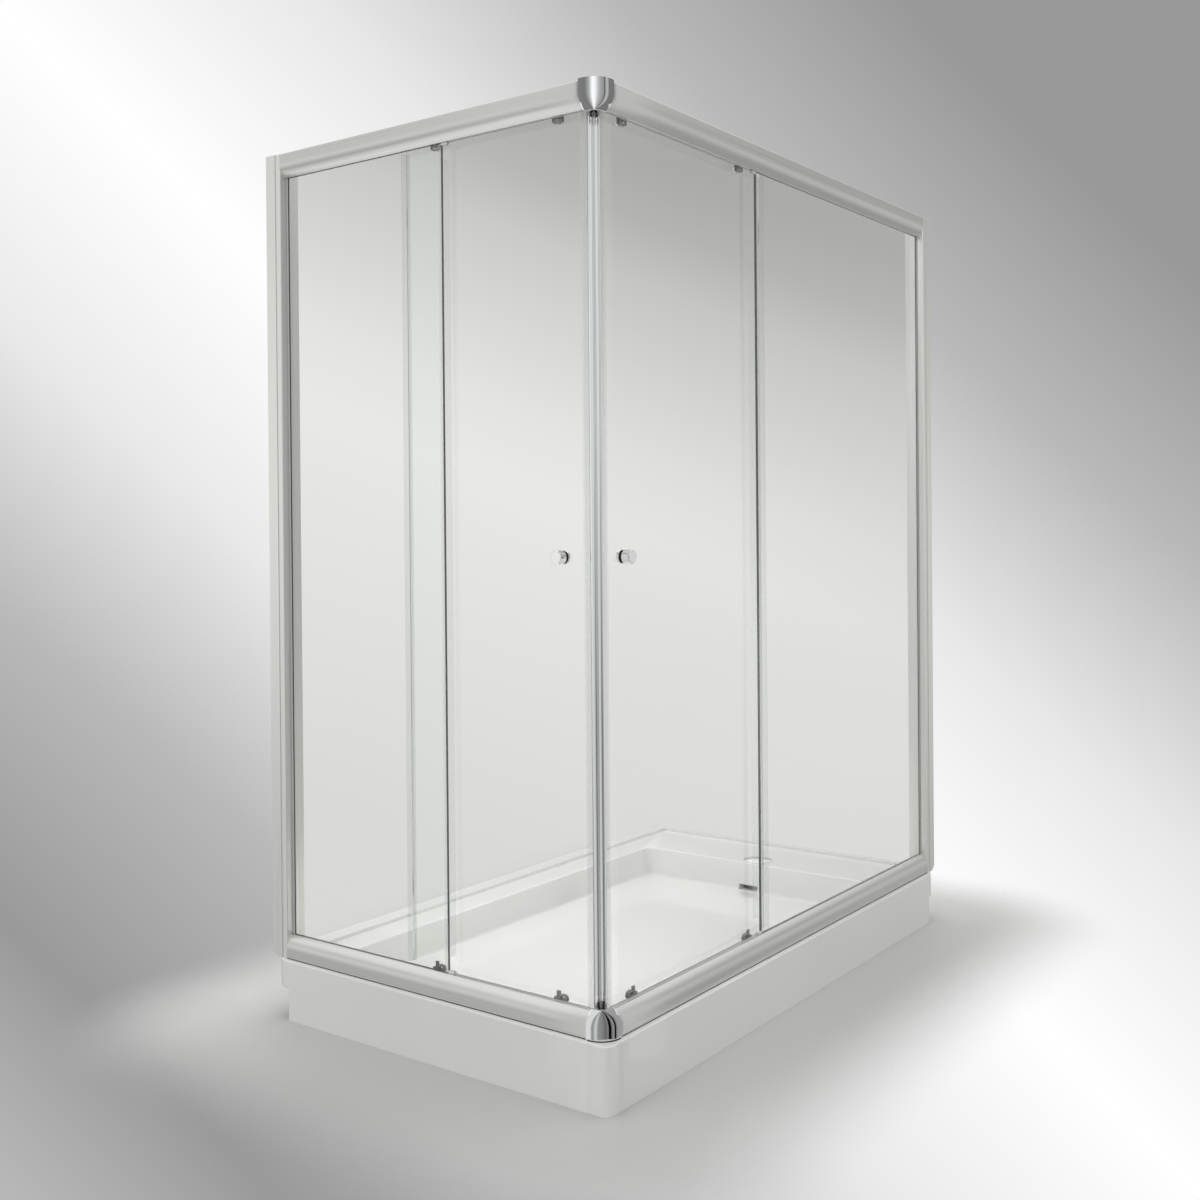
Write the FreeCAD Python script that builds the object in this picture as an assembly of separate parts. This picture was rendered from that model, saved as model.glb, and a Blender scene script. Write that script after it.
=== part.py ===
import FreeCAD, Part
import math
import os

os.makedirs("parts", exist_ok=True)
V = FreeCAD.Vector

# Corner-entry shower enclosure on a rectangular tray. Every size is in millimetres.
# A side is drawn with X along it from the tray's near corner, Y inward from the tray's
# outer face, and Z up from the ground. The short side is the mirror image of that.

# tray
long_side = 1605.0
short_side = 965.0
tray_height = 136.0
tray_wall = 5.0
rim_skirt = 62.0            # depth of the rim on the two wall sides
apron_setback = 62.0        # the aprons stop this far short of the walls
near_radius = 18.0
end_radius = 62.0
near_ledge = 78.0           # flat rim under the screens
back_ledge = 125.0          # rim along the wall behind the short side's end
deck_width = 235.0          # wide end deck over the trap
basin_draft = 12.0
basin_radius = 30.0
basin_edge = 4.0            # rounding of the basin's upper edge
basin_cove = 10.0           # rounding round the basin's floor
rim_edge = 3.0
inner_corner = 2.0
floor_low = 56.0            # basin floor at the trap end
floor_fall = 7.0
floor_underside = 46.0
wall_corner_radius = 10.0   # corner between the two walls
tile_lip_height = 8.0
tile_lip_long_wall = 45.0
tile_lip_end_wall = 20.0

# screens
screen_height = 1850.0
rail_face = 12.0            # outer face of the rails, in from the tray's face
rail_height = 52.0
rail_straight = 21.0        # flat part of the rail's face, before it curves in
rail_lip = 28.0             # where the curve ends, beside the fixed glass
rail_edge = 2.0             # rounding between the face and the flat side
rail_back = 70.0
rail_skin = 1.8
web_front = 39.5            # web between the fixed glass and the roller track
web_skin = 1.5
pocket_floor = 38.5         # glass pocket's depth inside the rail, from its flat side
track_edge = 48.2
track_level = 46.5
rib_centre = 45.1
rib_width = 1.6
rib_tip = 42.8
back_lip = 16.0
rib_bevel = 0.8             # height of the rib's rounded tip
port_ring = 4.8
port_bore = 2.1
port_a = (20.2, 6.2)
port_b = (35.1, 32.6)

# corner connectors
corner_radius = 40.0
rail_start = 56.0
mitre_gap = 0.5
cap_reach = 60.0
cap_skin = 2.0
cap_over = 3.0
cap_clear = 0.15            # between cover and rail
post_centre = 31.0
post_radius = 5.0
bracket_front = 25.6
bracket_inner = 38.5
bracket_arm = 32.0          # reach into each rail
bracket_inset = 2.6
bracket_depth = 24.2
bracket_screw_in = 16.0     # along the rail from its end
bracket_screw_level = 15.0
bracket_screw_radius = 2.0
bracket_screw_head = 3.8
bracket_screw_depth = 2.6

# wall channels and stiles; w is measured out from the wall
channel_width = 30.0
channel_front = 10.3
channel_back = 72.2
channel_skin = 1.6
lip_width = 1.2             # bead along the channel's inner edge
lip_depth = 0.5
channel_clip = (16.0, 12.0)  # corner cut off the uprights where they stand on the tray
stile_width = 44.0
stile_tail = 8.0
stile_front = 12.1
stile_back = 70.0
stile_skin = 1.6
stile_edge_radius = 5.0
groove_depth = 12.0
wall_hole_radius = 3.25
wall_hole_count = 4
wall_hole_pitch = 550.0
stile_screw_inset = 120.0
stile_screw_in = 10.0       # from the channel's mouth
stile_screw_hole = 2.2
stile_screw_pilot = 1.6
stile_screw_dome = 4.2
port_screw_length = 18.0
port_screw_head = 2.9

# glass
glass = 6.0
fixed_face = 32.5           # outer face of the fixed glass
door_face = 53.0            # outer face of the door glass
gasket_skin = 0.8
gasket_lip = 6.0            # how far the upright gasket stands out of the stile
groove_slack = 0.4
seal_skin = 0.8
seal_legs = 8.0
seal_tip_gap = 0.7          # a fin's tip, from the glass it brushes
fin_clear = 32.0            # fixed pane's fin stops short of the rollers' level
pane_edge = {"short": 438.0, "long": 649.0}
door_front = 71.0
door_rear = {"short": 556.0, "long": 690.0}
door_inset = 12.0           # door glass short of the rails' flat sides
door_travel = {"short": 268.0, "long": 478.0}

# rollers; the upper ones sit hanger_offset nearer the corner than the lower ones
roller_inset = {"front": 78.0, "rear": 82.0}
hanger_offset = 10.0
wheel_tread = 8.6
wheel_flange = 10.6
wheel_width = 6.0
axle_radius = 2.5
axle_shoulder = 4.4
wheel_bore = 2.55
wheel_gap = 0.05
wheel_pocket = 1.3          # five blind pockets on a ring, moulded in the wheel's face
wheel_pocket_ring = 5.6
plate_gap = 0.2             # between a roller plate and the glass
bracket_face = 48.7
hanger_half = 12.0
hanger_front = 44.5
hanger_foot = (48.4, 59.6)
hanger_shoulder = 40.0
release_travel = 6.0
screw_level_top = 54.0
screw_level_bottom = 44.0
screw_hole = 4.0
roller_screw = 2.5
nut_flange = 6.4
nut_dome = 7.0
stop_length = 14.0          # rubber buffers at the end of the doors' travel
stop_level = 26.0
stop_edge = 2.5
pane_stop_length = 16.0
pane_stop_rise = 6.0        # above the rail's lip
pane_stop_gap = 0.2
pane_stop_edge = 1.2

# lower roller housings
housing_half = 16.0
housing_front = 44.8
housing_back = 50.8         # face of the plate that lies on the glass
housing_base = 48.6
housing_arch = 60.5
housing_shoulder = 54.4
button_span = (2.6, 10.4)
button_top = 66.5
button_front = 46.7
button_gap = 0.3

# knobs
knob_from_corner = 142.0
knob_height = 930.0         # above the tray's rim
knob_radius = 14.0
knob_length = {"outer": 19.0, "inner": 6.5}
knob_bore = {"outer": 8.0, "inner": 4.0}
knob_chamfer = 1.2
knob_dish = 0.4
washer = 2.0
washer_radius = 13.4
stud_radius = 3.0
stud_hole = 5.0

# magnetic closing strips
strip_centre = 64.2
strip_radius = 7.2
strip_gap = 0.3
carrier_start = 68.5
carrier_reach = 86.0
carrier_skin = 1.2

# waste
deck_cap_from_edge = 47.0
cap_radius = 41.0
cap_dome = 7.0
trap_radius = 44.0
trap_hole = 35.0
trap_floor = 12.0
outlet_radius = 20.0
outlet_bore = 18.0
outlet_level = 34.0
nut_reach = 26.0
inlet_width = 60.0
inlet_height = 16.0

# board and feet under the basin
board_thickness = 16.0
board_inset = 20.0
board_radius = 30.0
foot_inset = 70.0
foot_pad_radius = 20.0
foot_pad_height = 8.0
foot_rod_radius = 5.0
foot_nut_radius = 9.0
foot_nut_height = 6.0

rim_level = tray_height
screen_top = tray_height + screen_height
side_length = {"short": short_side, "long": long_side}
door_centre = door_face + glass / 2
door_back = door_face + glass
fixed_back = fixed_face + glass
web_back = web_front + web_skin
face_arc = ((rail_lip - rail_face) ** 2 + (rail_height - rail_straight) ** 2) / (2 * (rail_lip - rail_face))
arc_centre = rail_face + face_arc
axle_level = rib_tip - wheel_tread - wheel_gap


def put(side, shape):
    """Move a piece drawn on a side's own axes into the enclosure's frame."""
    if side == "short":
        shape = shape.mirror(V(0, 0, 0), V(1, -1, 0))
    shape.translate(V(-long_side / 2, -short_side / 2, 0))
    return shape


def save(node, pieces):
    if not isinstance(pieces, list):
        pieces = [pieces]
    solids = [solid for piece in pieces for solid in piece.Solids]
    for solid in solids:
        if not solid.isValid() or solid.Volume <= 0:
            raise ValueError("bad solid in " + node)
    shape = solids[0] if len(solids) == 1 else Part.makeCompound(solids)
    shape.exportStep("parts/" + node + ".step")


def box(x0, x1, y0, y1, z0, z1):
    return Part.makeBox(x1 - x0, y1 - y0, z1 - z0, V(x0, y0, z0))


def cylinder(radius, start, direction, length):
    return Part.makeCylinder(radius, length, start, direction)


def one_solid(shape):
    """Merge coplanar faces and give back the single solid."""
    return shape.removeSplitter().Solids[0]


def closed_face(edges):
    return Part.Face(Part.Wire(edges))


def ring_of(points):
    return [Part.makeLine(a, b) for a, b in zip(points, points[1:] + points[:1])]


def arc_through(a, middle, b):
    return Part.Arc(a, middle, b).toShape()


def rounded_outline(x0, x1, y0, y1, radii, level):
    """Closed wire of a rectangle with its own radius at each corner, from (x0, y0) round."""
    corners = [(x0, y0, 1, 1), (x1, y0, -1, 1), (x1, y1, -1, -1), (x0, y1, 1, -1)]
    edges = []
    last = None
    first = None
    for i, ((x, y, sx, sy), radius) in enumerate(zip(corners, radii)):
        along_x = V(x + sx * radius, y, level)
        along_y = V(x, y + sy * radius, level)
        into, out = (along_y, along_x) if i % 2 == 0 else (along_x, along_y)
        k = radius * (1 - math.sqrt(0.5))
        middle = V(x + sx * k, y + sy * k, level)
        if last is not None:
            edges.append(Part.makeLine(last, into))
        else:
            first = into
        edges.append(arc_through(into, middle, out))
        last = out
    edges.append(Part.makeLine(last, first))
    return Part.Wire(edges)


# ---- rails ----

def face_curve(depth_in, level):
    """How far in the curved face lies at a level, for a skin set in by depth_in."""
    radius = face_arc - depth_in
    return arc_centre - math.sqrt(radius ** 2 - (level - rail_straight) ** 2)


def rail_section(flat, way):
    """Section of the rails: flat is the level of the flat side, way points to the glass."""
    def p(d, h):
        return V(0, d, flat + way * h)

    def face_line(depth_in, h0, h1):
        middle = (h0 + h1) / 2
        return arc_through(p(face_curve(depth_in, h0), h0), p(face_curve(depth_in, middle), middle),
                           p(face_curve(depth_in, h1), h1))

    rib_low = rib_centre - rib_width / 2
    rib_high = rib_centre + rib_width / 2
    track_under = track_level + web_skin
    edge = rail_face + rail_edge
    path = [(edge, 0), (rail_back, 0), (rail_back, back_lip), (rail_back - web_skin, back_lip),
            (rail_back - web_skin, rail_skin), (web_back, rail_skin), (web_back, track_level),
            (rib_low, track_level), (rib_low, rib_tip + rib_bevel)]
    edges = [Part.makeLine(p(*a), p(*b)) for a, b in zip(path, path[1:])]
    shoulder = rib_tip + rib_bevel
    edges.append(arc_through(p(rib_low, shoulder), p(rib_centre, rib_tip), p(rib_high, shoulder)))
    path = [(rib_high, rib_tip + rib_bevel), (rib_high, track_level), (track_edge, track_level),
            (track_edge, track_under), (web_back, track_under), (web_back, rail_height),
            (web_front, rail_height), (web_front, pocket_floor),
            (face_curve(rail_skin, pocket_floor), pocket_floor)]
    edges += [Part.makeLine(p(*a), p(*b)) for a, b in zip(path, path[1:])]
    edges.append(face_line(rail_skin, pocket_floor, rail_height))
    edges.append(Part.makeLine(p(face_curve(rail_skin, rail_height), rail_height), p(rail_lip, rail_height)))
    edges.append(face_line(0, rail_height, rail_straight))
    edges.append(Part.makeLine(p(rail_face, rail_straight), p(rail_face, rail_edge)))
    k = rail_edge * (1 - math.sqrt(0.5))
    edges.append(arc_through(p(rail_face, rail_edge), p(rail_face + k, k), p(edge, 0)))
    outer = closed_face(edges)

    stop = pocket_floor - web_skin
    inner_face = rail_face + rail_skin
    edges = [Part.makeLine(p(inner_face, rail_skin + 1), p(inner_face + 1, rail_skin)),
             Part.makeLine(p(inner_face + 1, rail_skin), p(web_front, rail_skin)),
             Part.makeLine(p(web_front, rail_skin), p(web_front, stop)),
             Part.makeLine(p(web_front, stop), p(face_curve(rail_skin, stop), stop)),
             face_line(rail_skin, stop, rail_straight),
             Part.makeLine(p(inner_face, rail_straight), p(inner_face, rail_skin + 1))]
    chamber = closed_face(edges)
    section = outer.cut(chamber)
    for port in (port_a, port_b):
        ring = closed_face([Part.makeCircle(port_ring, p(*port), V(1, 0, 0))])
        section = section.fuse(ring)
    for port in (port_a, port_b):
        section = section.cut(closed_face([Part.makeCircle(port_bore, p(*port), V(1, 0, 0))]))
    return section.removeSplitter()


def rail(side, top):
    flat, way = (screen_top, -1) if top else (rim_level, 1)
    length = side_length[side] - stile_width - rail_start
    body = rail_section(flat, way).extrude(V(length, 0, 0))
    body.translate(V(rail_start, 0, 0))
    low = min(flat, flat + way * rail_height) - 1
    reach = rail_back + 1
    mitre = Part.Face(Part.makePolygon([V(rail_start - 2, rail_start - 2 - mitre_gap, low),
                                        V(reach + mitre_gap, reach, low),
                                        V(rail_start - 2, reach, low),
                                        V(rail_start - 2, rail_start - 2 - mitre_gap, low)]))
    body = body.cut(mitre.extrude(V(0, 0, rail_height + 2)))
    hole = V(rail_start + bracket_screw_in, web_front - 1, flat + way * bracket_screw_level)
    return one_solid(body.cut(cylinder(bracket_screw_radius, hole, V(0, 1, 0), web_skin + 2)))


# ---- corner connectors ----

def cap_skin_section(flat, way, start):
    """Section of a connector's skin, on the plane where the straight leg meets the bend."""
    def p(d, h):
        return V(corner_axis, d, flat + way * h)

    def curve(radius, h):
        return arc_centre - math.sqrt(radius ** 2 - (h - rail_straight) ** 2)

    end = rail_height + cap_over
    outer = face_arc + cap_skin
    inner = face_arc + cap_clear
    middle = (rail_straight + end) / 2
    edges = [Part.makeLine(p(arc_centre - outer, start), p(arc_centre - outer, rail_straight)),
             arc_through(p(arc_centre - outer, rail_straight), p(curve(outer, middle), middle),
                         p(curve(outer, end), end)),
             Part.makeLine(p(curve(outer, end), end), p(curve(inner, end), end)),
             arc_through(p(curve(inner, end), end), p(curve(inner, middle), middle),
                         p(arc_centre - inner, rail_straight)),
             Part.makeLine(p(arc_centre - inner, rail_straight), p(arc_centre - inner, start)),
             Part.makeLine(p(arc_centre - inner, start), p(arc_centre - outer, start))]
    return closed_face(edges)


corner_axis = rail_face + corner_radius


def corner_cap(top):
    """Chromed connector cover: the rails' face turned round the corner, with two short legs."""
    flat, way = (screen_top, -1) if top else (rim_level, 1)
    start = -cap_over if top else 0.0
    section = cap_skin_section(flat, way, start)
    leg = section.extrude(V(cap_reach - corner_axis, 0, 0))
    bend = section.revolve(V(corner_axis, corner_axis, 0), V(0, 0, 1), -90)
    other_leg = leg.mirror(V(0, 0, 0), V(1, -1, 0))
    edge = cap_reach if top else rail_start - 0.2
    inset = 0.0 if top else cap_skin + 0.1
    radius = corner_radius + cap_skin - inset
    middle = corner_axis - radius * math.sqrt(0.5)
    low = corner_axis - radius
    z0 = flat + cap_over if top else flat
    thick = -(cap_over - 0.1) if top else rail_skin
    points = [V(corner_axis, low, z0), V(edge, low, z0), V(edge, edge, z0), V(low, edge, z0),
              V(low, corner_axis, z0)]
    edges = [Part.makeLine(a, b) for a, b in zip(points, points[1:])]
    edges.append(arc_through(points[-1], V(middle, middle, z0), points[0]))
    plate = closed_face(edges).extrude(V(0, 0, thick))
    post_end = flat + way * bracket_inset
    post_start = flat + cap_over - 1 if top else flat + 1
    post = cylinder(post_radius, V(post_centre, post_centre, post_start), V(0, 0, way), abs(post_end - post_start))
    return one_solid(leg.fuse([bend, other_leg, plate, post]))


def corner_bracket(top):
    """Die-cast angle that plugs into both rails behind the cover."""
    flat, way = (screen_top, -1) if top else (rim_level, 1)
    z0, z1 = sorted((flat + way * bracket_inset, flat + way * (bracket_inset + bracket_depth)))
    rib = 3.0
    pocket = 6.0
    gusset_reach = 11.5
    gusset_inset = 6.0
    inner = bracket_inner
    arm = box(bracket_front, rail_start + bracket_arm, bracket_front, inner, z0, z1)
    gusset_low = z0 + gusset_inset
    gusset = Part.Face(Part.makePolygon([V(inner, inner, gusset_low), V(inner + gusset_reach, inner, gusset_low),
                                         V(inner, inner + gusset_reach, gusset_low), V(inner, inner, gusset_low)]))
    gusset = gusset.extrude(V(0, 0, bracket_depth - 2 * gusset_inset))
    body = arm.fuse([arm.mirror(V(0, 0, 0), V(1, -1, 0)), gusset])
    hole = cylinder(bracket_screw_radius, V(rail_start + bracket_screw_in, bracket_front, flat
                                            + way * bracket_screw_level), V(0, 1, 0), inner)
    cuts = [hole]
    pocket_inset = 4.0
    for start in (rail_start + pocket_inset, rail_start + bracket_arm - pocket_inset - pocket):
        cuts.append(box(start, start + pocket, bracket_front + rib, inner + 1, z0 + rib, z1 - rib))
    return one_solid(body.cut(cuts + [cut.mirror(V(0, 0, 0), V(1, -1, 0)) for cut in cuts]))


def bracket_screws(top):
    """Socket screws that draw the die-cast angle against each rail's web."""
    flat, way = (screen_top, -1) if top else (rim_level, 1)
    x = rail_start + bracket_screw_in
    z = flat + way * bracket_screw_level
    shank = cylinder(bracket_screw_radius, V(x, post_centre, z), V(0, 1, 0), web_back - post_centre)
    head = cylinder(bracket_screw_head, V(x, web_back, z), V(0, 1, 0), bracket_screw_depth)
    screw = one_solid(shank.fuse(head))
    return [put("long", screw.copy()), put("short", screw.copy())]


# ---- wall channels and stiles ----

def wall_channel(side):
    """U channel screwed to the wall, which takes up an out-of-true wall."""
    end = side_length[side]
    mouth = end - channel_width
    outer = box(mouth, end, channel_front, channel_back, rim_level, screen_top)
    inside = box(mouth - 1, end - channel_skin, channel_front + channel_skin, channel_back - channel_skin,
                 rim_level - 1, screen_top + 1)
    body = outer.cut(inside)
    lip = box(mouth, mouth + lip_width, channel_back - channel_skin - lip_depth, channel_back - channel_skin + 0.2,
              rim_level, screen_top)
    body = body.fuse(lip)
    middle = (channel_front + channel_back) / 2
    holes = []
    for i in range(wall_hole_count):
        z = rim_level + screen_height / 2 + (i - (wall_hole_count - 1) / 2) * wall_hole_pitch
        holes.append(cylinder(wall_hole_radius, V(end - 4, middle, z), V(1, 0, 0), 6))
    for z in stile_screw_levels():
        holes.append(cylinder(stile_screw_hole, V(mouth + stile_screw_in, channel_back - 4, z), V(0, 1, 0), 6))
    return one_solid(clipped(side, body.cut(holes)))


def clipped(side, body):
    """Cut the wall-side corner off an upright's lower end."""
    end = side_length[side]
    reach, rise = channel_clip
    corner = Part.Face(Part.makePolygon([V(end - reach, 0, rim_level), V(end + 1, 0, rim_level - 1),
                                         V(end + 1, 0, rim_level + rise + 1), V(end, 0, rim_level + rise),
                                         V(end - reach, 0, rim_level)]))
    return body.cut(corner.extrude(V(0, rail_back + channel_back, 0)))


def stile_screw_levels():
    return [rim_level + stile_screw_inset, rim_level + screen_height / 2, screen_top - stile_screw_inset]


def stile(side):
    """Hollow upright that slides in the channel, with a groove for the fixed glass."""
    end = side_length[side]
    face = end - stile_width
    tail = end - stile_tail
    groove = (fixed_face - gasket_skin - groove_slack, fixed_back + gasket_skin + groove_slack)
    z = rim_level

    def skin(t):
        radius = stile_edge_radius - t
        x0, x1 = face + t, tail - t
        y0, y1 = stile_front + t, stile_back - t
        edges = [Part.makeLine(V(x0 + radius, y0, z), V(x1, y0, z)), Part.makeLine(V(x1, y0, z), V(x1, y1, z)),
                 Part.makeLine(V(x1, y1, z), V(x0, y1, z)), Part.makeLine(V(x0, y1, z), V(x0, y0 + radius, z))]
        k = radius * (1 - math.sqrt(0.5))
        edges.append(arc_through(V(x0, y0 + radius, z), V(x0 + k, y0 + k, z), V(x0 + radius, y0, z)))
        return closed_face(edges).extrude(V(0, 0, screen_height))

    body = skin(0).cut(skin(stile_skin))
    pocket = box(face, face + groove_depth + stile_skin, groove[0] - stile_skin, groove[1] + stile_skin,
                 rim_level, screen_top)
    slot = box(face - 1, face + groove_depth, groove[0], groove[1], rim_level - 1, screen_top + 1)
    body = body.fuse(pocket).cut(slot)
    holes = []
    for flat, way in ((rim_level, 1), (screen_top, -1)):
        d, h = port_a
        holes.append(cylinder(port_bore, V(face - 1, d, flat + way * h), V(1, 0, 0), 4))
    for level in stile_screw_levels():
        holes.append(cylinder(stile_screw_pilot, V(end - channel_width + stile_screw_in, stile_back - 4, level),
                              V(0, 1, 0), 6))
    return one_solid(clipped(side, body.cut(holes)))


def stile_screws(side):
    """Self-tapping screws: channel to stile, and stile to the rails' screw ports."""
    end = side_length[side]
    face = end - stile_width
    screws = []
    for level in stile_screw_levels():
        start = V(end - channel_width + stile_screw_in, channel_back, level)
        shank = cylinder(stile_screw_pilot - 0.1, start, V(0, -1, 0), 9)
        head = Part.makeSphere(stile_screw_dome, start - V(0, 1.8, 0)).common(
            box(start.x - 6, start.x + 6, start.y, start.y + 6, level - 6, level + 6))
        screws.append(one_solid(shank.fuse(head)))
    for flat, way in ((rim_level, 1), (screen_top, -1)):
        d, h = port_a
        start = V(face + stile_skin, d, flat + way * h)
        shank = cylinder(port_bore - 0.2, start, V(-1, 0, 0), port_screw_length)
        head = cylinder(port_screw_head, start, V(1, 0, 0), 2.2)
        screws.append(one_solid(shank.fuse(head)))
    return screws


# ---- fixed panes ----

def fixed_glass(side):
    x1 = side_length[side] - stile_width + groove_depth - 1.5
    low = rim_level + pocket_floor + 1.4
    high = screen_top - pocket_floor - 1.4
    return box(pane_edge[side], x1, fixed_face, fixed_face + glass, low, high)


def channel_gasket(x0, x1, z0, z1, mouth):
    """U gasket round one edge of the fixed glass; mouth names the open side."""
    y0 = fixed_face - gasket_skin
    y1 = fixed_back + gasket_skin
    body = box(x0, x1, y0, y1, z0, z1)
    low, high = {"up": (gasket_skin, 1), "down": (-1, -gasket_skin)}[mouth]
    return body.cut(box(x0, x1, fixed_face, fixed_back, z0 + low, z1 + high))


def glazing_gaskets(side):
    """Dark gasket in both rails and in the stile's groove, mitred away from one another."""
    face = side_length[side] - stile_width
    low = rim_level + pocket_floor
    high = screen_top - pocket_floor
    gap = 0.1
    lower = channel_gasket(pane_edge[side] + 1, face - gap, low + gap, rim_level + rail_height, "up")
    upper = channel_gasket(pane_edge[side] + 1, face - gap, screen_top - rail_height, high - gap, "down")
    y0 = fixed_face - gasket_skin
    y1 = fixed_back + gasket_skin
    upright = box(face - gasket_lip, face + groove_depth - 0.2, y0, y1, rim_level + rail_height + 0.2,
                  screen_top - rail_height - 0.2)
    upright = upright.cut(box(face - gasket_lip - 1, face + groove_depth - 1.4, fixed_face, fixed_back,
                              rim_level, screen_top))
    return [lower, upper, upright]


def pane_seal(side):
    """Clear edge strip on the pane's free edge, with a fin that brushes the door glass."""
    edge = pane_edge[side]
    z0 = rim_level + rail_height + 0.5
    z1 = screen_top - rail_height - 0.5
    skin = seal_skin
    body = box(edge - skin, edge + seal_legs, fixed_face - skin, fixed_back + skin, z0, z1)
    body = body.cut(box(edge, edge + seal_legs + 1, fixed_face, fixed_back, z0 - 1, z1 + 1))
    root = fixed_back + skin
    tip = door_face - seal_tip_gap
    low, high = z0 + fin_clear, z1 - fin_clear
    points = [V(edge - skin, root - 0.5, low), V(edge + 1.2, root - 0.5, low), V(edge - 4.8, tip, low),
              V(edge - 6.0, tip, low)]
    fin = Part.Face(Part.makePolygon(points + points[:1])).extrude(V(0, 0, high - low))
    return one_solid(body.fuse(fin))


def pane_stops(side):
    """Plastic blocks in the rails' glass pockets that hold the pane's free edge in place."""
    end = pane_edge[side] - seal_skin - pane_stop_gap
    blocks = []
    for flat, way in ((rim_level, 1), (screen_top, -1)):
        root = flat + way * (pocket_floor + pane_stop_gap)
        tip = flat + way * (rail_height + pane_stop_rise)
        block = box(end - pane_stop_length, end, fixed_face - seal_skin, web_front - pane_stop_gap,
                    min(root, tip), max(root, tip))
        rim = [edge for edge in block.Edges if abs(edge.CenterOfMass.z - tip) < 0.01]
        blocks.append(block.makeFillet(pane_stop_edge, rim))
    return blocks


def track_stops(side):
    """Rubber buffers pressed on the track that end the door's travel."""
    pieces = []
    for top in (False, True):
        flat, way = (screen_top, -1) if top else (rim_level, 1)
        start = roller_places(side, top)["rear"] + door_travel[side] + wheel_flange + 0.6
        z0, z1 = sorted((flat + way * stop_level, flat + way * (track_level - 0.1)))
        body = box(start, start + stop_length, web_back + 0.1, track_edge - 0.4, z0, z1)
        slot0, slot1 = sorted((flat + way * (rib_tip - 0.1), flat + way * (track_level + 1)))
        body = body.cut(box(start - 1, start + stop_length + 1, rib_centre - rib_width / 2 - 0.05,
                            rib_centre + rib_width / 2 + 0.05, slot0, slot1))
        upright = [edge for edge in body.Edges if edge.Length > z1 - z0 - 1 and edge.CenterOfMass.x < start + 1
                   and abs(edge.tangentAt(edge.FirstParameter).z) > 0.9]
        pieces.append(body.makeFillet(stop_edge, upright))
    return pieces


# ---- doors ----

def roller_places(side, top):
    offset = hanger_offset if top else 0
    return {"front": door_front + roller_inset["front"] - offset,
            "rear": door_rear[side] - roller_inset["rear"] - offset}


def door_glass(side):
    z0 = rim_level + door_inset
    z1 = screen_top - door_inset
    body = box(door_front, door_rear[side], door_face, door_face + glass, z0, z1)
    holes = []
    for top, z in ((False, rim_level + screw_level_bottom), (True, screen_top - screw_level_top)):
        for x in roller_places(side, top).values():
            holes.append(cylinder(screw_hole, V(x, door_face - 1, z), V(0, 1, 0), glass + 2))
    holes.append(cylinder(stud_hole, V(knob_from_corner, door_face - 1, rim_level + knob_height), V(0, 1, 0),
                          glass + 2))
    return body.cut(holes).Solids[0]


def closing_strip():
    """Bright magnetic strip: a round bead cut off flat where the two doors meet."""
    z0 = rim_level + door_inset
    z1 = screen_top - door_inset
    bead = cylinder(strip_radius, V(strip_centre, door_centre, z0), V(0, 0, 1), z1 - z0)
    keep = carrier_start - 0.1
    bead = bead.common(box(0, keep, 0, 100, z0, z1))
    far = 100.0
    corner = Part.Face(Part.makePolygon([V(0, -strip_gap, z0 - 1), V(far, far - strip_gap, z0 - 1),
                                         V(0, far, z0 - 1), V(0, -strip_gap, z0 - 1)]))
    return one_solid(bead.cut(corner.extrude(V(0, 0, z1 - z0 + 2))))


def strip_carrier():
    """Clear profile that clips over the door's front edge and holds the bright strip."""
    z0 = rim_level + door_inset
    z1 = screen_top - door_inset
    body = box(carrier_start, carrier_reach, door_face - carrier_skin, door_back + carrier_skin, z0, z1)
    body = body.cut(box(door_front, carrier_reach + 1, door_face, door_back, z0 - 1, z1 + 1))
    return one_solid(body)


def rear_seal(side):
    """Clear strip on the door's rear edge, with a fin towards the fixed pane."""
    edge = door_rear[side]
    z0 = rim_level + rail_height + 1.5
    z1 = screen_top - rail_height - 1.5
    skin = seal_skin
    body = box(edge - seal_legs, edge + skin, door_face - skin, door_back + skin, z0, z1)
    body = body.cut(box(edge - seal_legs - 1, edge, door_face, door_back, z0 - 1, z1 + 1))
    tip = fixed_back + 3.2
    root = door_face - skin
    points = [V(edge - 1.2, root + 0.5, z0), V(edge + skin, root + 0.5, z0), V(edge + 4.6, tip, z0),
              V(edge + 3.4, tip, z0)]
    fin = Part.Face(Part.makePolygon(points + points[:1])).extrude(V(0, 0, z1 - z0))
    return one_solid(body.fuse(fin))


def knob(which):
    """Plain turned knob with bevelled rims and a shallow dish in its face."""
    r = knob_radius
    n = knob_length[which]
    c = knob_chamfer
    profile = [V(0, 0, 0), V(r - c / 2, 0, 0), V(r, c / 2, 0), V(r, n - c, 0), V(r - c, n, 0),
               V(r - 2 * c, n, 0), V(r - 2 * c - knob_dish, n - knob_dish, 0), V(0, n - knob_dish, 0)]
    body = Part.Solid(closed_face(ring_of(profile)).revolve(V(0, 0, 0), V(0, 1, 0), 360))
    body = body.cut(cylinder(stud_radius, V(0, -1, 0), V(0, 1, 0), knob_bore[which] + 1))
    z = rim_level + knob_height
    if which == "outer":
        body.rotate(V(0, 0, 0), V(0, 0, 1), 180)
        body.translate(V(knob_from_corner, door_face - washer, z))
    else:
        body.translate(V(knob_from_corner, door_back + washer, z))
    return body.Solids[0]


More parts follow.
